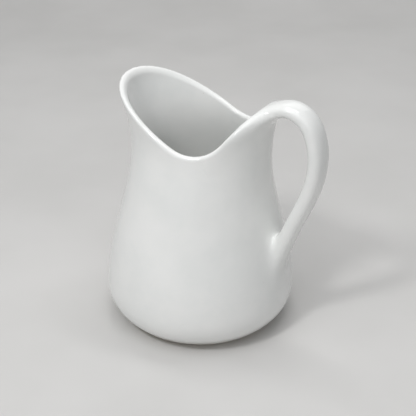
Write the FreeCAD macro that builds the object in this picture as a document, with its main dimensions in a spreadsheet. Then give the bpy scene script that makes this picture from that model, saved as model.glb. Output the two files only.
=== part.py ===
import FreeCAD, Part
import math
import os

import Sketcher
from FreeCAD import Placement, Rotation, Vector

# A slip-cast stoneware pitcher, in millimetres. +Z is up, the foot stands on z = 0 with the
# body's axis on x = y = 0, the spout points to -X and the handle stands out to +X.
# The cast body and the cast handle are separate pieces, luted together with slip.

# Single driving dimensions; slopes are in degrees.
SIZES = {
    "wall": 4.3,                  # thickness of the cast wall, measured level
    "inside_level": 7.5,          # inner floor
    "inside_radius": 50.4,
    "inside_corner": 9.0,         # radius between the inner floor and the wall
    "rim_low_out": 13.8,          # lowest point of the rim, in side view
    "rim_low_level": 125.5,
    "rim_front_radius": 26.0,     # curve from that point towards the spout
    "rim_front_slope": 27.2,
    "rim_back_radius": 20.0,      # curve from that point towards the handle
    "rim_back_slope": 56.0,
    "rim_crest_radius": 15.0,     # curve that ends the back slope
    "rim_crest_level": 151.0,     # the rim runs level from there over the handle's root
    "rim_round": 1.8,             # the two rounded edges of the rim
    "tread_outer_radius": 47.0,   # the bare ring that the pitcher stands on
    "tread_inner_radius": 40.5,
    "tread_top_inner_radius": 39.5,
    "tread_round": 0.7,
}

# Level sections of the body, bottom to top: height, half width across, and how much further
# the outline reaches on the spout side and on the handle side.
BODY_SECTIONS = {
    "foot": (2.5, 50.0, 0.0, 0.0),
    "heel": (9.0, 55.9, 0.0, 0.0),
    "belly": (28.0, 60.0, 0.0, 0.0),
    "shoulder": (50.0, 56.5, 0.0, 0.0),
    "waist": (74.0, 50.4, 0.0, 0.0),
    "collar": (98.0, 44.0, 0.5, 1.4),
    "neck": (118.0, 39.3, 4.0, 5.6),
    "throat": (138.0, 39.8, 7.2, 6.0),
    "lip": (150.0, 42.8, 7.6, 3.9),
    "brim": (162.0, 46.4, 6.0, 2.6),
}

# Cross-sections of the strap handle, from the rim round to the belly: distance out from the
# axis, height, width across, thickness.
HANDLE_SECTIONS = {
    "root": (33.0, 132.5, 27.0, 11.0),
    "rise": (39.5, 142.5, 23.0, 9.0),
    "brow": (49.5, 149.5, 18.5, 8.2),
    "crest": (60.5, 152.0, 17.0, 8.4),
    "turn": (69.5, 148.0, 17.0, 8.8),
    "knuckle": (75.8, 137.5, 17.0, 9.4),
    "palm": (77.9, 121.0, 16.6, 9.8),
    "grip": (73.8, 101.0, 15.6, 10.0),
    "tail": (65.2, 79.5, 14.6, 10.0),
    "landing": (57.6, 59.0, 14.4, 10.4),
    "stub": (51.5, 44.0, 15.0, 11.0),
}

# Cross-sections of the two slip joints, from inside the wall out along the strap: distance
# out from the axis, height, lean of the section's normal from upright in degrees, width
# across, thickness.
JOINT_SECTIONS = {
    "upper_slip_joint": {
        "root": (38.0, 133.0, 90.0, 40.0, 24.0),
        "skin": (45.0, 139.5, 82.0, 27.0, 19.0),
        "cove": (50.5, 145.8, 68.0, 21.5, 12.6),
        "end": (57.5, 151.0, 78.0, 17.8, 8.9),
    },
    "lower_slip_joint": {
        "root": (47.0, 38.0, 19.0, 24.0, 12.0),
        "skin": (53.2, 55.6, 19.0, 24.0, 13.0),
        "cove": (58.6, 67.0, 20.0, 18.5, 11.0),
        "end": (64.2, 78.8, 21.0, 15.4, 10.2),
    },
}

QUARTER = math.pi / 2.0
CLEAR_LEFT = -90.0    # the rim outline is closed here, clear of the spout,
CLEAR_RIGHT = 90.0    # here, clear of the body's handle side,
CLEAR_TOP = 185.0     # and here, clear of the tallest section


# ---- the sheet of sizes ----

def all_sizes():
    sizes = dict(SIZES)
    for name, values in BODY_SECTIONS.items():
        for kind, value in zip(("level", "radius", "spout_reach", "handle_reach"), values):
            sizes[f"{name}_{kind}"] = value
    for name, values in HANDLE_SECTIONS.items():
        for kind, value in zip(("out", "level", "width", "thickness"), values):
            sizes[f"{name}_{kind}"] = value
    for joint, sections in JOINT_SECTIONS.items():
        for name, values in sections.items():
            for kind, value in zip(("out", "level", "lean", "width", "thickness"), values):
                sizes[f"{joint}_{name}_{kind}"] = value
    return sizes


def fill_sheet(doc):
    sheet = doc.addObject("Spreadsheet::Sheet", "Dimensions")
    for row, (name, value) in enumerate(all_sizes().items(), 1):
        sheet.set(f"A{row}", name)
        sheet.set(f"B{row}", str(value))
        sheet.setAlias(f"B{row}", name)
    doc.recompute()


def size(name):
    """The expression that reads one size."""
    return "Dimensions." + name


# ---- sketch helpers ----

def origin_plane(body, role):
    return next(plane for plane in body.Origin.OriginFeatures if plane.Role == role)


def new_sketch(body, name, role):
    sketch = body.newObject("Sketcher::SketchObject", name)
    sketch.AttachmentSupport = [(origin_plane(body, role), "")]
    sketch.MapMode = "FlatFace"
    return sketch


def constrain(sketch, *arguments):
    return sketch.addConstraint(Sketcher.Constraint(*arguments))


def dimension(sketch, expression, kind, *arguments):
    """A constraint whose value is the expression's."""
    value = sketch.evalExpression(expression)
    if kind == "Angle":
        value = math.radians(value)
        expression = f"({expression}) * 1 deg"
    index = constrain(sketch, kind, *arguments, value)
    sketch.setExpression(f"Constraints[{index}]", expression)


def new_loft(body, kind, name, sketches):
    feature = body.newObject(kind, name)
    feature.Profile = sketches[0]
    feature.Sections = sketches[1:]
    return feature


# ---- the body's level sections ----

def half_outline(sketch, radius, reach, start, end):
    """Half of a level section: an ellipse's arc where it reaches out, else a circle's."""
    if reach > 0.0:
        curve = Part.ArcOfEllipse(Part.Ellipse(Vector(), radius + reach, radius), start, end)
    else:
        curve = Part.ArcOfCircle(Part.Circle(Vector(), Vector(0, 0, 1), radius), start, end)
    return sketch.addGeometry(curve)


def level_sketch(body, name, level, radius, spout="0", handle="0"):
    """A closed level outline, its sizes given as expressions."""
    sketch = new_sketch(body, "level_" + name, "XY_Plane")
    sketch.AttachmentOffset = Placement(Vector(0, 0, sketch.evalExpression(level)), Rotation())
    sketch.setExpression("AttachmentOffset.Base.z", level)
    half_width = sketch.evalExpression(radius)
    spout_reach = sketch.evalExpression(spout)
    handle_reach = sketch.evalExpression(handle)
    back = half_outline(sketch, half_width, handle_reach, -QUARTER, QUARTER)
    front = half_outline(sketch, half_width, spout_reach, QUARTER, 3.0 * QUARTER)
    constrain(sketch, "Coincident", back, 2, front, 1)
    constrain(sketch, "Coincident", front, 2, back, 1)
    constrain(sketch, "Coincident", back, 3, -1, 1)
    constrain(sketch, "Coincident", front, 3, -1, 1)
    constrain(sketch, "PointOnObject", back, 2, -2)
    constrain(sketch, "PointOnObject", back, 1, -2)
    if handle_reach <= 0.0:
        dimension(sketch, radius, "Radius", back)
        return sketch
    for curve, reach in ((back, handle), (front, spout)):
        long_axis = sketch.GeometryCount
        sketch.exposeInternalGeometry(curve)
        constrain(sketch, "Horizontal", long_axis)
        dimension(sketch, f"2 * ({radius} + {reach})", "Distance", long_axis)
        if curve == back:
            dimension(sketch, f"2 * ({radius})", "Distance", long_axis + 1)
    return sketch


def body_sketches(body, names, inset=""):
    """The body's outline at the named levels, drawn in by the inset expression."""
    return [
        level_sketch(body, name, size(name + "_level"), size(name + "_radius") + inset,
                     size(name + "_spout_reach"), size(name + "_handle_reach"))
        for name in names
    ]


# ---- body_shell ----

def rim_points(sketch):
    """The rim's side view: its lowest point, the arcs' centres and their ends off that point."""
    low_out = sketch.evalExpression(size("rim_low_out"))
    low_level = sketch.evalExpression(size("rim_low_level"))
    ends = []
    centres = []
    for side, sign in (("front", -1.0), ("back", 1.0)):
        radius = sketch.evalExpression(size(f"rim_{side}_radius"))
        slope = math.radians(sketch.evalExpression(size(f"rim_{side}_slope")))
        centre = Vector(low_out, low_level + radius, 0)
        centres.append(centre)
        ends.append(centre + Vector(sign * radius * math.sin(slope), -radius * math.cos(slope), 0))
    return Vector(low_out, low_level, 0), centres, ends


def crest_points(sketch, back_end, slope):
    """Where the back slope's end curve starts, its centre, and its end on the level run."""
    radius = sketch.evalExpression(size("rim_crest_radius"))
    level = sketch.evalExpression(size("rim_crest_level"))
    start_level = level - radius * (1.0 - math.cos(slope))
    start_out = back_end.x + (start_level - back_end.y) / math.tan(slope)
    end_out = start_out + radius * math.sin(slope)
    return (Vector(start_out, start_level, 0), Vector(end_out, level - radius, 0),
            Vector(end_out, level, 0))


def rim_outline(body):
    """The space above the rim, seen from the side: two slopes, the arcs and the level run."""
    sketch = new_sketch(body, "rim_outline", "XZ_Plane")
    low, (front_centre, back_centre), (front_end, back_end) = rim_points(sketch)
    front_slope = math.radians(sketch.evalExpression(size("rim_front_slope")))
    back_slope = math.radians(sketch.evalExpression(size("rim_back_slope")))
    crest_start, crest_centre, crest_end = crest_points(sketch, back_end, back_slope)
    left = Vector(CLEAR_LEFT, front_end.y + (front_end.x - CLEAR_LEFT) * math.tan(front_slope), 0)
    right = Vector(CLEAR_RIGHT, crest_end.y, 0)
    right_corner = Vector(CLEAR_RIGHT, CLEAR_TOP, 0)
    corner = Vector(CLEAR_LEFT, CLEAR_TOP, 0)
    up = Vector(0, 0, 1)
    front_line = sketch.addGeometry(Part.LineSegment(left, front_end))
    front_arc = sketch.addGeometry(Part.ArcOfCircle(
        Part.Circle(front_centre, up, (low - front_centre).Length),
        3.0 * QUARTER - front_slope, 3.0 * QUARTER))
    back_arc = sketch.addGeometry(Part.ArcOfCircle(
        Part.Circle(back_centre, up, (low - back_centre).Length),
        3.0 * QUARTER, 3.0 * QUARTER + back_slope))
    back_line = sketch.addGeometry(Part.LineSegment(back_end, crest_start))
    crest_arc = sketch.addGeometry(Part.ArcOfCircle(
        Part.Circle(crest_centre, up, (crest_end - crest_centre).Length),
        QUARTER, QUARTER + back_slope))
    level_line = sketch.addGeometry(Part.LineSegment(crest_end, right))
    right_line = sketch.addGeometry(Part.LineSegment(right, right_corner))
    top_line = sketch.addGeometry(Part.LineSegment(right_corner, corner))
    side_line = sketch.addGeometry(Part.LineSegment(corner, left))
    constrain(sketch, "Tangent", front_line, 2, front_arc, 1)
    constrain(sketch, "Tangent", front_arc, 2, back_arc, 1)
    constrain(sketch, "Tangent", back_arc, 2, back_line, 1)
    constrain(sketch, "Tangent", back_line, 2, crest_arc, 2)
    constrain(sketch, "Tangent", crest_arc, 1, level_line, 1)
    constrain(sketch, "Coincident", level_line, 2, right_line, 1)
    constrain(sketch, "Coincident", right_line, 2, top_line, 1)
    constrain(sketch, "Coincident", top_line, 2, side_line, 1)
    constrain(sketch, "Coincident", side_line, 2, front_line, 1)
    constrain(sketch, "Horizontal", level_line)
    constrain(sketch, "Vertical", right_line)
    constrain(sketch, "Horizontal", top_line)
    constrain(sketch, "Vertical", side_line)
    constrain(sketch, "Vertical", front_arc, 2, front_arc, 3)
    dimension(sketch, size("rim_low_out"), "DistanceX", -1, 1, front_arc, 2)
    dimension(sketch, size("rim_low_level"), "DistanceY", -1, 1, front_arc, 2)
    dimension(sketch, size("rim_front_radius"), "Radius", front_arc)
    dimension(sketch, size("rim_back_radius"), "Radius", back_arc)
    dimension(sketch, "-" + size("rim_front_slope"), "Angle", front_line)
    dimension(sketch, size("rim_back_slope"), "Angle", back_line)
    dimension(sketch, size("rim_crest_radius"), "Radius", crest_arc)
    dimension(sketch, size("rim_crest_level"), "DistanceY", -1, 1, level_line, 1)
    constrain(sketch, "DistanceX", -1, 1, level_line, 2, CLEAR_RIGHT)
    constrain(sketch, "DistanceX", top_line, 2, -1, 1, -CLEAR_LEFT)
    constrain(sketch, "DistanceY", -1, 1, top_line, 2, CLEAR_TOP)
    return sketch


def edges_between(shape, is_first, is_second):
    """Names of the edges where a face of one kind meets a face of another."""
    names = []
    for number, edge in enumerate(shape.Edges, 1):
        faces = shape.ancestorsOfType(edge, Part.Face)
        if len(faces) != 2:
            continue
        if any(is_first(one) and is_second(other) for one, other in (faces, faces[::-1])):
            names.append(f"Edge{number}")
    return names


def is_wall(face):
    return isinstance(face.Surface, Part.BSplineSurface)


def is_level_plane(face):
    return isinstance(face.Surface, Part.Plane) and abs(face.normalAt(0, 0).z) > 0.999


def is_rim_cut(face):
    return not is_wall(face) and not is_level_plane(face)


def add_fillet(body, name, base, edges, radius):
    fillet = body.newObject("PartDesign::Fillet", name)
    fillet.Base = (base, edges)
    fillet.setExpression("Radius", radius)
    return fillet


def make_body_shell(doc):
    """The cast wall: outer form, hollow, side-view cut of the rim and rounded rim edges."""
    body = doc.addObject("PartDesign::Body", "body_shell")
    new_loft(body, "PartDesign::AdditiveLoft", "outer_form", body_sketches(body, BODY_SECTIONS))
    doc.recompute()
    inset = " - " + size("wall")
    upper = [name for name in BODY_SECTIONS if name not in ("foot", "heel")]
    inner = [level_sketch(body, "inside", size("inside_level"), size("inside_radius"))]
    inner += body_sketches(body, upper, inset)
    hollow = new_loft(body, "PartDesign::SubtractiveLoft", "hollow", inner)
    doc.recompute()
    floor_edges = [
        name for name in edges_between(hollow.Shape, is_wall, is_level_plane)
        if abs(hollow.Shape.getElement(name).BoundBox.ZMax - SIZES["inside_level"]) < 0.1
    ]
    corner = add_fillet(body, "inside_corner", hollow, floor_edges, size("inside_corner"))
    doc.recompute()
    pocket = body.newObject("PartDesign::Pocket", "rim_cut")
    pocket.Profile = rim_outline(body)
    pocket.Type = "ThroughAll"
    pocket.Midplane = True
    doc.recompute()
    rim_edges = edges_between(pocket.Shape, is_wall, is_rim_cut)
    add_fillet(body, "rim_rounding", pocket, rim_edges, size("rim_round"))
    doc.recompute()
    return body


# ---- foot_ring ----

def make_foot_ring(doc):
    """The bare ring under the body, turned round the body's axis."""
    body = doc.addObject("PartDesign::Body", "foot_ring")
    sketch = new_sketch(body, "ring_profile", "XZ_Plane")
    names = ("tread_inner_radius", "tread_outer_radius", "foot_radius", "tread_top_inner_radius")
    levels = ("0", "0", size("foot_level"), size("foot_level"))
    outs = [sketch.evalExpression(size(name)) for name in names]
    ups = [sketch.evalExpression(level) for level in levels]
    corners = [Vector(out, up, 0) for out, up in zip(outs, ups)]
    lines = [
        sketch.addGeometry(Part.LineSegment(start, end))
        for start, end in zip(corners, corners[1:] + corners[:1])
    ]
    for line, following in zip(lines, lines[1:] + lines[:1]):
        constrain(sketch, "Coincident", line, 2, following, 1)
    for line, name in zip(lines, names):
        dimension(sketch, size(name), "DistanceX", -1, 1, line, 1)
    constrain(sketch, "PointOnObject", lines[0], 1, -1)
    constrain(sketch, "Horizontal", lines[0])
    constrain(sketch, "Horizontal", lines[2])
    dimension(sketch, size("foot_level"), "DistanceY", -1, 1, lines[2], 1)
    ring = body.newObject("PartDesign::Revolution", "ring")
    ring.Profile = sketch
    ring.ReferenceAxis = (sketch, ["V_Axis"])
    ring.Angle = 360.0
    doc.recompute()
    tread_edges = [
        f"Edge{number}" for number, edge in enumerate(ring.Shape.Edges, 1)
        if edge.Closed and abs(edge.BoundBox.ZMax) < 0.01
    ]
    add_fillet(body, "tread_rounding", ring, tread_edges, size("tread_round"))
    doc.recompute()
    return body


# ---- handle and its two slip joints ----

def handle_point(name):
    out, level = HANDLE_SECTIONS[name][:2]
    return Vector(out, 0, level)


def handle_lean(name):
    """The way the strap runs at a section: from the section before it to the one after."""
    names = list(HANDLE_SECTIONS)
    place = names.index(name)
    before = names[max(place - 1, 0)]
    after = names[min(place + 1, len(names) - 1)]
    run = handle_point(after) - handle_point(before)
    return math.degrees(math.atan2(run.x, run.z))


def oval_sketch(body, name, prefix, lean):
    """An oval across the strap; its place and sizes are the sheet's, under the prefix."""
    sketch = new_sketch(body, "across_" + name, "XY_Plane")
    sketch.AttachmentOffset = Placement(Vector(), Rotation(Vector(0, 1, 0), lean))
    sketch.setExpression("AttachmentOffset.Base.x", size(prefix + "_out"))
    sketch.setExpression("AttachmentOffset.Base.z", size(prefix + "_level"))
    width = size(prefix + "_width")
    thickness = size(prefix + "_thickness")
    half_width = 0.5 * sketch.evalExpression(width)
    half_thickness = 0.5 * sketch.evalExpression(thickness)
    oval = sketch.addGeometry(Part.Ellipse(
        Vector(0, half_width, 0), Vector(half_thickness, 0, 0), Vector()))
    sketch.exposeInternalGeometry(oval)
    constrain(sketch, "Coincident", oval, 3, -1, 1)
    constrain(sketch, "Vertical", oval + 1)
    dimension(sketch, width, "Distance", oval + 1)
    dimension(sketch, thickness, "Distance", oval + 2)
    return sketch


def make_outer_tool(doc):
    """The body's outer form again, on its own, to fit the handle and the joints to it."""
    body = doc.addObject("PartDesign::Body", "outer_tool")
    new_loft(body, "PartDesign::AdditiveLoft", "outer_solid", body_sketches(body, BODY_SECTIONS))
    return body


def cut(doc, name, base, tool):
    result = doc.addObject("Part::Cut", name)
    result.Base = base
    result.Tool = tool
    return result


def make_handle(doc, outer_tool):
    """The cast strap, its two ends shaped to sit on the body."""
    body = doc.addObject("PartDesign::Body", "strap")
    sketches = [
        oval_sketch(body, name, name, handle_lean(name))
        for name in HANDLE_SECTIONS
    ]
    new_loft(body, "PartDesign::AdditiveLoft", "strap_loft", sketches)
    doc.recompute()
    return body, cut(doc, "handle", body, outer_tool)


def make_slip_joint(doc, name, strap, outer_tool):
    """A fillet of slip round one end of the strap, thickest where strap and body meet."""
    body = doc.addObject("PartDesign::Body", name + "_flare")
    sketches = []
    for section in JOINT_SECTIONS[name]:
        prefix = f"{name}_{section}"
        lean = body.evalExpression(size(prefix + "_lean"))
        sketches.append(oval_sketch(body, section, prefix, lean))
    new_loft(body, "PartDesign::AdditiveLoft", "flare", sketches)
    doc.recompute()
    fitted = cut(doc, name + "_on_body", body, outer_tool)
    return cut(doc, name, fitted, strap)


# ---- checks and output ----

def check_document(doc):
    failed = [
        item.Name for item in doc.Objects
        if any(word in item.State for word in ("Invalid", "Error"))
    ]
    if failed:
        raise RuntimeError("failed objects: " + ", ".join(failed))


def write_parts(parts):
    for part in parts:
        if part.Shape.isNull() or not part.Shape.isValid():
            raise RuntimeError(part.Label + " has no valid shape")
        if len(part.Shape.Solids) != 1:
            raise RuntimeError(f"{part.Label} has {len(part.Shape.Solids)} solids")
    os.makedirs("parts", exist_ok=True)
    for part in parts:
        part.Shape.exportStep(f"parts/{part.Label}.step")
        print(f"{part.Label}: {part.Shape.Volume / 1000.0:.1f} cm3")


def main():
    doc = FreeCAD.newDocument("pitcher")
    fill_sheet(doc)
    body_shell = make_body_shell(doc)
    foot_ring = make_foot_ring(doc)
    outer_tool = make_outer_tool(doc)
    strap, handle = make_handle(doc, outer_tool)
    joints = [make_slip_joint(doc, name, strap, outer_tool) for name in JOINT_SECTIONS]
    doc.recompute()
    check_document(doc)
    write_parts([body_shell, foot_ring, handle] + joints)


main()
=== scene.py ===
import math

import bmesh
import bpy
import numpy as np
from mathutils import Matrix, Vector


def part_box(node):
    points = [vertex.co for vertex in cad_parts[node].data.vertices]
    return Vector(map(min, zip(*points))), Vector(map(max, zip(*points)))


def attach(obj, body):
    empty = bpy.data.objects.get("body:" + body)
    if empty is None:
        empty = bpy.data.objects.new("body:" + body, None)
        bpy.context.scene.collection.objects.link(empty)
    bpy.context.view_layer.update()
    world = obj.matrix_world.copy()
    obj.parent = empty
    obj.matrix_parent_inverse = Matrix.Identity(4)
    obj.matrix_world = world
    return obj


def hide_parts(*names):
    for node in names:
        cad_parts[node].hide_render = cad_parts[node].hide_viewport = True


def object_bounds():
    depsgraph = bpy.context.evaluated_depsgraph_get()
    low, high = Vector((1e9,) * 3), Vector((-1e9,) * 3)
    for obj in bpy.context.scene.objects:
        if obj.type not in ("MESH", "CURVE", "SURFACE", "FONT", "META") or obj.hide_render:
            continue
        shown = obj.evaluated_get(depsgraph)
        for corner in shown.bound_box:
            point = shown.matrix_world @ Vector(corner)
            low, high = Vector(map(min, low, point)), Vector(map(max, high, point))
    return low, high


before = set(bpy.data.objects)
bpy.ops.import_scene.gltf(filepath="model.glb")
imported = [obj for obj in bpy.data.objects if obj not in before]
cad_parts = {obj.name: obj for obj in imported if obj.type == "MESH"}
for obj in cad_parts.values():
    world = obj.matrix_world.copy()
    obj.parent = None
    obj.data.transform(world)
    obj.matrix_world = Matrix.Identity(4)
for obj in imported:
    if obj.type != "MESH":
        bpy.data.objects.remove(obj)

# A white glazed pitcher. The clay is one smooth closed surface, given by a field that is
# negative inside the clay: body, strap and hollow are joined with soft fillets. That surface
# is then parted where the real pieces meet: body, upper slip joint, strap, lower slip joint.
# The shape is worked out in millimetres and written to the meshes in metres.

CAD_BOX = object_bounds()
MM = 0.001

# ---- the shape, in millimetres ----

FOOT_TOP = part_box("foot_ring")[1][2] / MM
FOOT_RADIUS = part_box("foot_ring")[1][0] / MM
WALL = 4.3
INSIDE_LEVEL = FOOT_TOP + 5.0
INSIDE_CORNER = 9.0
HEEL_ROUND = 1.6
LIP_ROUND = 2.0
RING_INNER = 39.5
TREAD_INNER = 40.5
TREAD_OUTER = FOOT_RADIUS - 3.0
TREAD_ROUND = 0.8
RING_SIDES = 192

# Level sections of the body: height, half width, reach on the spout side, on the handle side.
BODY_SECTIONS = np.array([
    (FOOT_TOP, FOOT_RADIUS, 0.0, 0.0),
    (9.0, 55.9, 0.0, 0.0),
    (28.0, 60.0, 0.0, 0.0),
    (50.0, 56.5, 0.0, 0.0),
    (74.0, 50.4, 0.0, 0.0),
    (98.0, 44.0, 0.5, 1.4),
    (118.0, 39.3, 4.0, 5.6),
    (138.0, 39.8, 7.2, 6.0),
    (150.0, 42.8, 7.6, 3.9),
    (162.0, 46.4, 6.0, 2.6),
])

# The rim in side view: its lowest point, the two arcs from it and the slopes they lead to,
# and the level at which it runs out over the strap.
RIM_LOW = (13.8, 125.5)
RIM_FRONT_RADIUS = 26.0
RIM_FRONT_SLOPE = math.radians(27.2)
RIM_BACK_RADIUS = 20.0
RIM_BACK_SLOPE = math.radians(60.0)
RIM_BACK_TOP = 149.0
RIM_BACK_EASE = 30.0

# The strap from the rim round to the belly: out from the axis, height, width, thickness.
STRAP_SECTIONS = np.array([
    (33.0, 132.5, 27.0, 11.0),
    (39.5, 142.5, 23.0, 9.0),
    (49.5, 149.5, 18.5, 8.2),
    (60.5, 152.0, 17.0, 8.4),
    (69.5, 148.0, 17.0, 8.8),
    (75.8, 137.5, 17.0, 9.4),
    (77.9, 121.0, 16.6, 9.8),
    (73.8, 101.0, 15.6, 10.0),
    (65.2, 79.5, 14.6, 10.0),
    (57.6, 59.0, 14.4, 10.4),
    (51.5, 44.0, 15.0, 11.0),
])
STRAP_SAMPLES = 2201
STRAP_STRIDE = 10           # every tenth sample finds the nearest stretch of the strap
STRAP_ROUNDS = 6            # and these rounds close in on the nearest point itself
STRAP_REGION = (20.0, 34.0, 20.0)   # it matters beyond this x, within this y, over this z
STRAP_BATCH = 20000         # points worked out at a time, to spare memory
STRAP_SQUARENESS = 2.5      # 2 is an ellipse; higher is flatter with rounder edges

# The strap's upper end spreads sideways on the wall: it bends round with the neck, falls
# with the rim to both sides, and grows wider. That starts at the larger of the two distances
# out from the axis in ROOT_REACH and is complete at the smaller.
ROOT_BEND = 42.0
ROOT_FALL = 0.55            # fall for each millimetre that the neck curves away
ROOT_SPREAD = 15.0
ROOT_REACH = (36.0, 56.0)
ROOT_LEVEL = 115.0          # only the upper end, above this height
UPPER_BLEND = 16.0          # under the strap's upper end
TOP_BLEND = 7.0             # over it
LOWER_BLEND = 11.0
BLEND_HEIGHTS = (80.0, 120.0)       # the lower blend gives way to the upper between these
BLEND_EDGE = 3.0            # and the upper one changes within this of the middle line
FAR = 60.0                  # stands for any distance too large to matter

GRID_STEP = 1.3


def natural_spline(knots, values):
    """A cubic through the values, straight at both ends, held level outside them."""
    gaps = np.diff(knots)
    count = len(knots)
    system = np.eye(count)
    right = np.zeros(count)
    for i in range(1, count - 1):
        system[i, i - 1:i + 2] = gaps[i - 1], 2.0 * (gaps[i - 1] + gaps[i]), gaps[i]
        rises = np.diff(values[i - 1:i + 2]) / gaps[i - 1:i + 1]
        right[i] = 6.0 * (rises[1] - rises[0])
    bend = np.linalg.solve(system, right)

    def curve(at):
        at = np.clip(at, knots[0], knots[-1])
        i = np.clip(np.searchsorted(knots, at) - 1, 0, count - 2)
        left = (at - knots[i]) / gaps[i]
        rest = 1.0 - left
        cubic = (rest**3 - rest) * bend[i] + (left**3 - left) * bend[i + 1]
        return rest * values[i] + left * values[i + 1] + cubic * gaps[i]**2 / 6.0
    return curve


def round_max(one, other, radius):
    """Keeps what is inside both, with the edge between them rounded."""
    corner = np.hypot(np.maximum(one + radius, 0.0), np.maximum(other + radius, 0.0))
    return np.minimum(np.maximum(one, other), -radius) + corner


def smooth_step(value, low, high):
    share = np.clip((value - low) / (high - low), 0.0, 1.0)
    return share * share * (3.0 - 2.0 * share)


def soft_min(one, other, reach):
    """Joins two forms with a fillet that fades out where they are this far apart."""
    near = np.maximum(reach - np.abs(one - other), 0.0) / reach
    return np.minimum(one, other) - near**3 * reach / 6.0


body_half_width, spout_reach, handle_reach = (
    natural_spline(BODY_SECTIONS[:, 0], BODY_SECTIONS[:, column]) for column in (1, 2, 3))


def outline_radius(cosine, sine, z, inset):
    across = body_half_width(z) - inset
    reach = np.where(cosine < 0.0, spout_reach(z), handle_reach(z))
    return 1.0 / np.hypot(cosine / (across + reach), sine / across)


def outline_gap(x, y, z, inset):
    """Distance outside the body's side wall, or outside the same wall drawn in."""
    out = np.maximum(np.hypot(x, y), 1e-6)
    cosine, sine = x / out, y / out
    radius = outline_radius(cosine, sine, z, inset)
    slope = outline_radius(cosine, sine, z + 0.5, inset) - outline_radius(
        cosine, sine, z - 0.5, inset)
    return (out - radius) / np.hypot(1.0, slope)


def rim_level(x):
    """Height of the rim, which is the same all the way across the pitcher."""
    side = x - RIM_LOW[0]
    front = side < 0.0
    radius = np.where(front, RIM_FRONT_RADIUS, RIM_BACK_RADIUS)
    slope = np.where(front, RIM_FRONT_SLOPE, RIM_BACK_SLOPE)
    away = np.abs(side)
    bend_end = radius * np.sin(slope)
    on_arc = radius - np.sqrt(np.maximum(radius**2 - np.minimum(away, bend_end)**2, 0.0))
    level = RIM_LOW[1] + on_arc + np.maximum(away - bend_end, 0.0) * np.tan(slope)
    return np.where(front, level, soft_min(level, RIM_BACK_TOP, RIM_BACK_EASE))


def rim_gap(x, z):
    """Distance above the rim."""
    slope = rim_level(x + 0.5) - rim_level(x - 0.5)
    return (z - rim_level(x)) / np.hypot(1.0, slope)


def strap_line():
    """Points, width and thickness evenly along the strap's middle line."""
    points = STRAP_SECTIONS[:, :2]
    knots = np.concatenate([[0.0], np.cumsum(np.linalg.norm(np.diff(points, axis=0), axis=1))])
    at = np.linspace(0.0, knots[-1], STRAP_SAMPLES)
    return np.stack([natural_spline(knots, column)(at) for column in STRAP_SECTIONS.T], axis=1)


STRAP = strap_line()
STRAP_RUN = np.gradient(STRAP[:, :2], axis=0)
STRAP_STEP = np.linalg.norm(STRAP_RUN, axis=1).mean()
STRAP_RUN = STRAP_RUN / np.linalg.norm(STRAP_RUN, axis=1)[:, None]


def strap_at(at):
    """Middle line, width, thickness and direction at places counted in samples."""
    index = np.arange(STRAP_SAMPLES)
    return [np.interp(at, index, column) for column in (*STRAP.T, *STRAP_RUN.T)]


def strap_gap(x, y, z):
    """Distance outside the strap, good near it and large elsewhere, and height over its middle."""
    gap = np.full(x.shape, FAR)
    over = np.zeros(x.shape)
    coarse = STRAP[::STRAP_STRIDE]
    out, side, up = STRAP_REGION
    chosen = np.flatnonzero((x > out) & (np.abs(y) < side) & (z > up))
    for part in np.array_split(chosen, max(1, len(chosen) // STRAP_BATCH)):
        px, py, pz = x[part], y[part], z[part]
        root = (1.0 - smooth_step(px, *ROOT_REACH)) * (pz > ROOT_LEVEL)
        curved_away = root * (ROOT_BEND - np.sqrt(ROOT_BEND**2 - py**2))
        px, pz = px + curved_away, pz + ROOT_FALL * curved_away
        away = (px[:, None] - coarse[:, 0])**2 + (pz[:, None] - coarse[:, 1])**2
        at = away.argmin(axis=1) * float(STRAP_STRIDE)
        for _ in range(STRAP_ROUNDS):
            cx, cz, _, _, run_x, run_z = strap_at(at)
            along = (px - cx) * run_x + (pz - cz) * run_z
            at = np.clip(at + along / STRAP_STEP, 0.0, STRAP_SAMPLES - 1.0)
        cx, cz, width, thickness, run_x, run_z = strap_at(at)
        length = np.hypot(run_x, run_z)
        over[part] = ((pz - cz) * run_x - (px - cx) * run_z) / length
        past = np.abs((px - cx) * run_x + (pz - cz) * run_z) / length
        a, b = 0.5 * (width + ROOT_SPREAD * root**2), 0.5 * thickness
        u, v = np.abs(py) / a, np.abs(over[part]) / b
        power = STRAP_SQUARENESS
        size = np.maximum((u**power + v**power)**(1.0 / power), 1e-6)
        steep = np.hypot((u / size)**(power - 1.0) / a, (v / size)**(power - 1.0) / b)
        from_end = STRAP_STEP * np.minimum(at, STRAP_SAMPLES - 1.0 - at)
        gap[part] = np.maximum((size - 1.0) / steep, past - from_end)
    return gap, over


def clay(points):
    """The field: negative inside the clay, about the distance outside it elsewhere."""
    x, y, z = points.T
    body = round_max(outline_gap(x, y, z, 0.0), FOOT_TOP - z, HEEL_ROUND)
    body = round_max(body, rim_gap(x, z), LIP_ROUND)
    strap, over = strap_gap(x, y, z)
    high = smooth_step(z, *BLEND_HEIGHTS)
    top = smooth_step(over, -BLEND_EDGE, BLEND_EDGE)
    blend = LOWER_BLEND + high * (UPPER_BLEND + top * (TOP_BLEND - UPPER_BLEND) - LOWER_BLEND)
    joined = soft_min(body, strap, blend)
    hollow = round_max(outline_gap(x, y, z, WALL), INSIDE_LEVEL - z, INSIDE_CORNER)
    return round_max(joined, -hollow, LIP_ROUND)


def slope_of(field, points, step=0.05):
    slopes = np.empty_like(points)
    for axis in range(3):
        shift = np.zeros(3)
        shift[axis] = step
        slopes[:, axis] = (field(points + shift) - field(points - shift)) / (2.0 * step)
    return slopes


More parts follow.
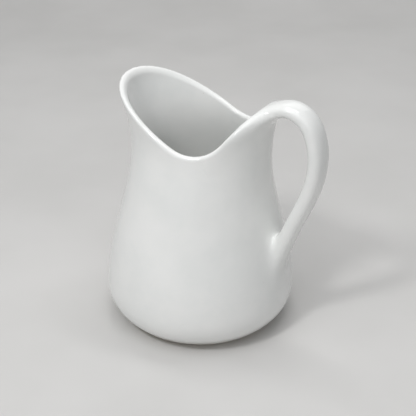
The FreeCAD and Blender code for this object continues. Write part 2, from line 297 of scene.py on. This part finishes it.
def settle(field, points, rounds):
    """Moves points onto the field's surface."""
    for _ in range(rounds):
        slopes = slope_of(field, points)
        squared = np.maximum((slopes**2).sum(axis=1), 0.05)
        move = -field(points)[:, None] * slopes / squared[:, None]
        length = np.maximum(np.linalg.norm(move, axis=1), 1e-9)
        points = points + move * np.minimum(1.0, GRID_STEP / length)[:, None]
    return points


def surface_of(field, low, high, step):
    """Quads on the field's surface: one point in each grid cell that the surface crosses."""
    axes = [np.arange(start, end + step, step) for start, end in zip(low, high)]
    grid = np.stack(np.meshgrid(*axes, indexing="ij"), axis=-1)
    inside = (field(grid.reshape(-1, 3)) < 0.0).reshape(grid.shape[:3])
    count = np.zeros(np.array(inside.shape) - 1, dtype=int)
    for corner in np.ndindex(2, 2, 2):
        window = tuple(slice(c, c + n) for c, n in zip(corner, count.shape))
        count += inside[window]
    crossed = (count > 0) & (count < 8)
    number = np.full(crossed.shape, -1)
    number[crossed] = np.arange(crossed.sum())
    points = grid[:-1, :-1, :-1][crossed] + 0.5 * step
    quads = []
    for axis in range(3):
        first = np.moveaxis(inside, axis, 0)[:, 1:-1, 1:-1]
        cells = np.moveaxis(number, axis, 0)
        enters = first[:-1] & ~first[1:]
        leaves = ~first[:-1] & first[1:]
        around = [cells[:, :-1, :-1], cells[:, 1:, :-1], cells[:, 1:, 1:], cells[:, :-1, 1:]]
        for edge, order in ((enters, (0, 1, 2, 3)), (leaves, (3, 2, 1, 0))):
            if axis == 1:
                order = order[::-1]
            quads.append(np.stack([around[k][edge] for k in order], axis=1))
    return points, np.concatenate(quads)


def relax(field, points, quads, rounds):
    """Evens out the quads, keeping the points on the surface."""
    ends = np.concatenate([quads, np.roll(quads, 1, axis=1)])
    starts = ends[:len(quads)].ravel()
    others = ends[len(quads):].ravel()
    degree = np.bincount(np.concatenate([starts, others]), minlength=len(points))
    for _ in range(rounds):
        total = np.zeros_like(points)
        for axis in range(3):
            total[:, axis] = (np.bincount(starts, points[others, axis], len(points))
                              + np.bincount(others, points[starts, axis], len(points)))
        points = points + 0.5 * (total / degree[:, None] - points)
        points = settle(field, points, 1)
    return points


# ---- pieces ----

MARGIN = 5.0
clay_low = np.array(CAD_BOX[0]) / MM - MARGIN
clay_high = np.array(CAD_BOX[1]) / MM + MARGIN

# Where the clay is parted: the cuts' planes, and the boxes that hold each cut.
UPPER_BODY_CUT = ((46.3, 0.0, 130.0), (1.0, 0.0, -0.06), (38.0, -30.0, 120.0), (52.0, 30.0, 164.0))
UPPER_STRAP_CUT = ((57.5, 0.0, 151.4), (1.0, 0.0, 0.16), (50.0, -14.0, 138.0), (66.0, 14.0, 160.0))
LOWER_BODY_CUT = ((58.3, 0.0, 45.0), (1.0, 0.0, 0.245), (42.0, -22.0, 34.0), (66.0, 22.0, 82.0))
LOWER_STRAP_CUT = ((65.2, 0.0, 79.5), (0.33, 0.0, 0.94), (54.0, -14.0, 72.0), (76.0, 14.0, 90.0))
CUT_SNAP = 0.001


def cut_surface(surface, point, direction, low, high):
    """Cuts the surface along a plane inside a box and returns the new edges."""
    inside = [v for v in surface.verts
              if all(a < c / MM < b for a, c, b in zip(low, v.co, high))]
    held = set(inside)
    faces = [face for face in surface.faces if all(v in held for v in face.verts)]
    edges = list(dict.fromkeys(edge for face in faces for edge in face.edges))
    result = bmesh.ops.bisect_plane(
        surface, geom=inside + edges + faces, dist=CUT_SNAP * MM,
        plane_co=[c * MM for c in point], plane_no=direction)
    return {item for item in result["geom_cut"] if isinstance(item, bmesh.types.BMEdge)}


def part_surface(surface, cuts):
    """Groups of faces, largest first, with no way between them but over a cut edge."""
    groups = []
    left = set(surface.faces)
    for first in surface.faces:
        if first not in left:
            continue
        left.remove(first)
        front = [first]
        group = [first]
        while front:
            face = front.pop()
            for edge in face.edges:
                if edge in cuts:
                    continue
                for other in edge.link_faces:
                    if other in left:
                        left.remove(other)
                        front.append(other)
                        group.append(other)
        groups.append(group)
    return sorted(groups, key=len, reverse=True)


def closed_piece(name, faces):
    """A mesh of the faces with its cut ends capped, shaded with the clay's own normals."""
    number = {}
    for face in faces:
        for vertex in face.verts:
            number.setdefault(vertex, len(number))
    piece = bmesh.new()
    made = [piece.verts.new(vertex.co) for vertex in number]
    for face in faces:
        piece.faces.new([made[number[vertex]] for vertex in face.verts])
    skin_faces = len(piece.faces)
    ends = [edge for edge in piece.edges if edge.is_boundary]
    if ends:
        bmesh.ops.holes_fill(piece, edges=ends, sides=0)
        piece.faces.ensure_lookup_table()
        bmesh.ops.triangulate(piece, faces=piece.faces[skin_faces:])
    mesh = bpy.data.meshes.new(name)
    piece.to_mesh(mesh)
    piece.free()
    mesh.polygons.foreach_set("use_smooth", [True] * len(mesh.polygons))
    at = np.empty(len(mesh.vertices) * 3)
    mesh.vertices.foreach_get("co", at)
    smooth = slope_of(clay, at.reshape(-1, 3) / MM)
    smooth /= np.linalg.norm(smooth, axis=1)[:, None]
    normals = []
    for polygon in mesh.polygons:
        for vertex in polygon.vertices:
            normals.append(smooth[vertex] if polygon.index < skin_faces else polygon.normal)
    mesh.normals_split_custom_set(normals)
    thing = bpy.data.objects.new(name, mesh)
    bpy.context.collection.objects.link(thing)
    return thing


def make_clay_pieces():
    points, quads = surface_of(clay, clay_low, clay_high, GRID_STEP)
    points = settle(clay, points, 3)
    points = relax(clay, points, quads, 8)
    points = settle(clay, points, 5)
    mesh = bpy.data.meshes.new("clay")
    mesh.from_pydata((points * MM).tolist(), [], quads.tolist())
    surface = bmesh.new()
    surface.from_mesh(mesh)
    bpy.data.meshes.remove(mesh)
    cuts = set()
    for cut in (UPPER_BODY_CUT, UPPER_STRAP_CUT, LOWER_BODY_CUT, LOWER_STRAP_CUT):
        cuts |= cut_surface(surface, *cut)
    body, *rest = part_surface(surface, cuts)
    rest.sort(key=lambda faces: np.mean([face.calc_center_median().z for face in faces]))

    lower, strap, upper = rest
    pieces = [closed_piece(name, faces) for name, faces in (
        ("pitcher_body", body), ("handle_strap", strap),
        ("upper_joint_slip", upper), ("lower_joint_slip", lower))]
    surface.free()
    return pieces


def make_foot_ring():
    """The bare ring under the body, turned from a rounded profile."""
    profile = [(RING_INNER, FOOT_TOP), (RING_INNER + 0.3, 1.4)]
    for step in range(5):
        turn = math.radians(22.5 * step)
        profile.append((TREAD_INNER + TREAD_ROUND * (1 - math.cos(turn)),
                        TREAD_ROUND * (1 - math.sin(turn))))
    for step in range(5):
        turn = math.radians(90.0 - 22.5 * step)
        profile.append((TREAD_OUTER - TREAD_ROUND * (1 - math.cos(turn)),
                        TREAD_ROUND * (1 - math.sin(turn))))
    profile += [(TREAD_OUTER + 1.0, 1.5), (FOOT_RADIUS - 1.0, FOOT_TOP)]
    ring = bmesh.new()
    rows = []
    for out, up in profile:
        rows.append([
            ring.verts.new((out * MM * math.cos(2 * math.pi * k / RING_SIDES),
                            out * MM * math.sin(2 * math.pi * k / RING_SIDES), up * MM))
            for k in range(RING_SIDES)
        ])
    for row, following in zip(rows, rows[1:] + rows[:1]):
        for k in range(RING_SIDES):
            after = (k + 1) % RING_SIDES
            ring.faces.new((row[k], row[after], following[after], following[k]))
    bmesh.ops.recalc_face_normals(ring, faces=ring.faces)
    mesh = bpy.data.meshes.new("foot_ring_bare")
    ring.to_mesh(mesh)
    ring.free()
    mesh.polygons.foreach_set("use_smooth", [True] * len(mesh.polygons))
    thing = bpy.data.objects.new("foot_ring_bare", mesh)
    bpy.context.collection.objects.link(thing)
    return thing


# ---- materials ----

class Nodes:
    """Short calls for one material's node tree."""

    def __init__(self, name):
        self.material = bpy.data.materials.new(name)
        self.material.use_nodes = True
        self.tree = self.material.node_tree
        self.shader = self.tree.nodes["Principled BSDF"]
        self.place = self.tree.nodes.new("ShaderNodeTexCoord").outputs["Object"]

    def link(self, value, socket):
        if isinstance(value, bpy.types.NodeSocket):
            self.tree.links.new(value, socket)
        else:
            socket.default_value = value

    def noise(self, size_mm, detail=2.0, roughness=0.5, distortion=0.0):
        node = self.tree.nodes.new("ShaderNodeTexNoise")
        self.link(self.place, node.inputs["Vector"])
        node.inputs["Scale"].default_value = 1.0 / (size_mm * MM)
        node.inputs["Detail"].default_value = detail
        node.inputs["Roughness"].default_value = roughness
        node.inputs["Distortion"].default_value = distortion
        return node.outputs["Fac"]

    def math(self, operation, one, other=0.0):
        node = self.tree.nodes.new("ShaderNodeMath")
        node.operation = operation
        self.link(one, node.inputs[0])
        self.link(other, node.inputs[1])
        return node.outputs[0]

    def spread(self, value, low, high, to_low=0.0, to_high=1.0):
        node = self.tree.nodes.new("ShaderNodeMapRange")
        node.interpolation_type = "SMOOTHSTEP"
        for socket, number in zip(("Value", "From Min", "From Max", "To Min", "To Max"),
                                  (value, low, high, to_low, to_high)):
            self.link(number, node.inputs[socket])
        return node.outputs["Result"]

    def mix(self, share, one, other):
        node = self.tree.nodes.new("ShaderNodeMix")
        node.data_type = "RGBA"
        self.link(share, node.inputs["Factor"])
        for value, socket in ((one, node.inputs[6]), (other, node.inputs[7])):
            self.link(value if isinstance(value, bpy.types.NodeSocket) else (*value, 1.0), socket)
        return node.outputs[2]

    def height(self):
        node = self.tree.nodes.new("ShaderNodeSeparateXYZ")
        self.link(self.place, node.inputs[0])
        return node.outputs["Z"]

    def specks(self, spacing_mm, radius_mm, share):
        """1 inside small round specks, of which only a share of the cells has one."""
        node = self.tree.nodes.new("ShaderNodeTexVoronoi")
        self.link(self.place, node.inputs["Vector"])
        node.inputs["Scale"].default_value = 1.0 / (spacing_mm * MM)
        size = radius_mm / spacing_mm
        spot = self.spread(node.outputs["Distance"], size * 0.6, size, 1.0, 0.0)
        split = self.tree.nodes.new("ShaderNodeSeparateColor")
        self.link(node.outputs["Color"], split.inputs[0])
        chosen = self.math("GREATER_THAN", split.outputs[0], 1.0 - share)
        return self.math("MULTIPLY", spot, chosen)

    def bump(self, height, depth_mm, below=None):
        node = self.tree.nodes.new("ShaderNodeBump")
        node.inputs["Distance"].default_value = depth_mm * MM
        self.link(height, node.inputs["Height"])
        if below is not None:
            self.link(below, node.inputs["Normal"])
        return node.outputs["Normal"]


def glaze_material():
    """Thick white glaze: darker and warmer towards the foot, a slow waviness, orange peel, a few
    iron specks.
    """
    n = Nodes("white_glaze")
    clouds = n.spread(n.noise(38.0, 3.0, 0.55), 0.35, 0.68)
    fine = n.noise(3.2, 3.0, 0.6)
    color = n.mix(clouds, (0.815, 0.826, 0.812), (0.862, 0.866, 0.852))
    color = n.mix(n.spread(fine, 0.35, 0.75, 0.0, 0.12), color, (0.90, 0.885, 0.855))
    # Darker, warmer colour mixed in unevenly near the foot, fading out by about 10.5 mm up.
    near_foot = n.spread(n.height(), 0.0028, 0.0105, 1.0, 0.0)
    ragged = n.math("MULTIPLY", near_foot, n.spread(n.noise(7.0, 4.0, 0.6), 0.3, 0.7, 0.35, 0.8))
    color = n.mix(ragged, color, (0.60, 0.575, 0.52))
    color = n.mix(n.specks(13.0, 0.42, 0.10), color, (0.23, 0.20, 0.17))
    color = n.mix(n.math("MULTIPLY", n.specks(5.5, 0.30, 0.12), 0.35), color, (0.42, 0.39, 0.34))
    n.link(color, n.shader.inputs["Base Color"])
    rough = n.spread(n.noise(22.0, 4.0, 0.6), 0.3, 0.7, 0.04, 0.08)
    n.link(rough, n.shader.inputs["Roughness"])
    n.shader.inputs["IOR"].default_value = 1.52
    slow = n.bump(n.noise(30.0, 1.0, 0.4), 0.30)
    peel = n.bump(n.noise(4.5, 2.0, 0.5), 0.012, slow)
    n.link(peel, n.shader.inputs["Normal"])
    return n.material


def clay_material():
    """Bare fired clay on the foot: sandy, matt, a little stained on the tread."""
    n = Nodes("bare_clay")
    color = n.mix(n.spread(n.noise(9.0, 4.0, 0.6), 0.3, 0.7),
                  (0.56, 0.50, 0.42), (0.70, 0.65, 0.56))
    color = n.mix(n.specks(1.6, 0.30, 0.35), color, (0.36, 0.31, 0.25))
    tread = n.spread(n.height(), 0.0002, 0.0012, 0.45, 0.0)
    color = n.mix(tread, color, (0.40, 0.37, 0.33))
    n.link(color, n.shader.inputs["Base Color"])
    n.link(n.spread(n.noise(1.2, 3.0, 0.6), 0.3, 0.7, 0.62, 0.85), n.shader.inputs["Roughness"])
    n.link(n.bump(n.noise(0.7, 3.0, 0.7), 0.06), n.shader.inputs["Normal"])
    return n.material


def floor_material():
    n = Nodes("pale_floor")
    color = n.mix(n.spread(n.noise(120.0, 3.0, 0.5), 0.3, 0.7),
                  (0.60, 0.593, 0.58), (0.64, 0.632, 0.62))
    n.link(color, n.shader.inputs["Base Color"])
    n.shader.inputs["Roughness"].default_value = 0.55
    return n.material


# ---- stage, lights and camera ----

CAMERA_TURN = math.radians(30.84)
CAMERA_CLIMB = math.radians(28.66)
CAMERA_DISTANCE = 0.600
CAMERA_LENS = 82.4
CAMERA_SENSOR = 36.0
CAMERA_SHIFT = (0.0182, -0.0072)
TARGET = Vector((0.0, 0.0, 0.0741))

# Name, direction, distance, width, height and power of each light.
LIGHTS = (
    ("key", (-0.7, 0.8, 1.25), 1.2, 0.16, 0.16, 4.0),
    ("top", (-0.2, 0.3, 1.0), 1.2, 0.9, 0.9, 4.6),
    ("side", (-0.6, 1.0, 0.4), 1.3, 1.0, 1.0, 0.8),
    ("fill", (0.4, 1.0, 0.95), 1.4, 1.0, 1.0, 1.9),
    ("strip", (0.1, -0.2, 1.0), 1.0, 0.6, 0.1, 2.2),
    ("back", (0.35, -1.0, 0.9), 1.2, 0.9, 0.5, 1.2),
)
WORLD_COLOR = (0.95, 0.97, 1.0, 1.0)
WORLD_STRENGTH = 0.29

def make_stage():
    """A pale floor that curves up into a backdrop behind the pitcher."""
    back_y, rise, width, front_y, height = 1.1, 0.5, 2.4, -1.2, 1.6
    side = [(front_y, 0.0)]
    for step in range(17):
        turn = math.radians(90.0 * step / 16.0)
        side.append((back_y - rise + rise * math.sin(turn), rise - rise * math.cos(turn)))
    side.append((back_y, height))
    stage = bmesh.new()
    rows = [[stage.verts.new((x, y, z)) for x in (-width, width)] for y, z in side]
    for row, following in zip(rows, rows[1:]):
        stage.faces.new((row[0], row[1], following[1], following[0]))
    mesh = bpy.data.meshes.new("floor")
    stage.to_mesh(mesh)
    stage.free()
    mesh.polygons.foreach_set("use_smooth", [True] * len(mesh.polygons))
    mesh.materials.append(floor_material())
    thing = bpy.data.objects.new("floor", mesh)
    thing.rotation_euler[2] = CAMERA_TURN
    bpy.context.collection.objects.link(thing)


def look_at(thing, target):
    away = thing.location - target
    thing.rotation_euler = away.to_track_quat("Z", "Y").to_euler()


def add_light(name, direction, distance, width, height, power):
    """A soft rectangle of light; direction is right, towards the view, and up."""
    data = bpy.data.lights.new(name, "AREA")
    data.shape = "RECTANGLE"
    data.size = width
    data.size_y = height
    data.energy = power
    thing = bpy.data.objects.new(name, data)
    right, near, up = direction
    turn = Matrix.Rotation(CAMERA_TURN, 3, "Z")
    thing.location = TARGET + turn @ Vector((right, -near, up)).normalized() * distance
    bpy.context.collection.objects.link(thing)
    look_at(thing, TARGET)


def add_camera():
    data = bpy.data.cameras.new("camera")
    data.lens = CAMERA_LENS
    data.sensor_width = CAMERA_SENSOR
    data.shift_x, data.shift_y = CAMERA_SHIFT
    thing = bpy.data.objects.new("camera", data)
    turn = Matrix.Rotation(CAMERA_TURN, 3, "Z")
    toward = Vector((0.0, -math.cos(CAMERA_CLIMB), math.sin(CAMERA_CLIMB)))
    thing.location = TARGET + turn @ toward * CAMERA_DISTANCE
    bpy.context.collection.objects.link(thing)
    look_at(thing, TARGET)
    bpy.context.scene.camera = thing


body, strap, upper_slip, lower_slip = make_clay_pieces()
ring = make_foot_ring()

glaze = glaze_material()
bare = clay_material()
for piece, node, material, slot in (
        (body, "body_shell", glaze, "white_glaze"),
        (strap, "handle", glaze, "white_glaze"),
        (upper_slip, "upper_slip_joint", glaze, "white_glaze"),
        (lower_slip, "lower_slip_joint", glaze, "white_glaze"),
        (ring, "foot_ring", bare, "bare_clay")):
    piece.data.materials.append(material)
    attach(piece, "root")
    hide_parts(node)

make_stage()
add_camera()
for light in LIGHTS:
    add_light(*light)

scene = bpy.context.scene
scene.view_settings.view_transform = "Standard"
world = bpy.data.worlds.new("studio")
world.use_nodes = True
background = world.node_tree.nodes["Background"]
background.inputs["Color"].default_value = WORLD_COLOR
background.inputs["Strength"].default_value = WORLD_STRENGTH
scene.world = world
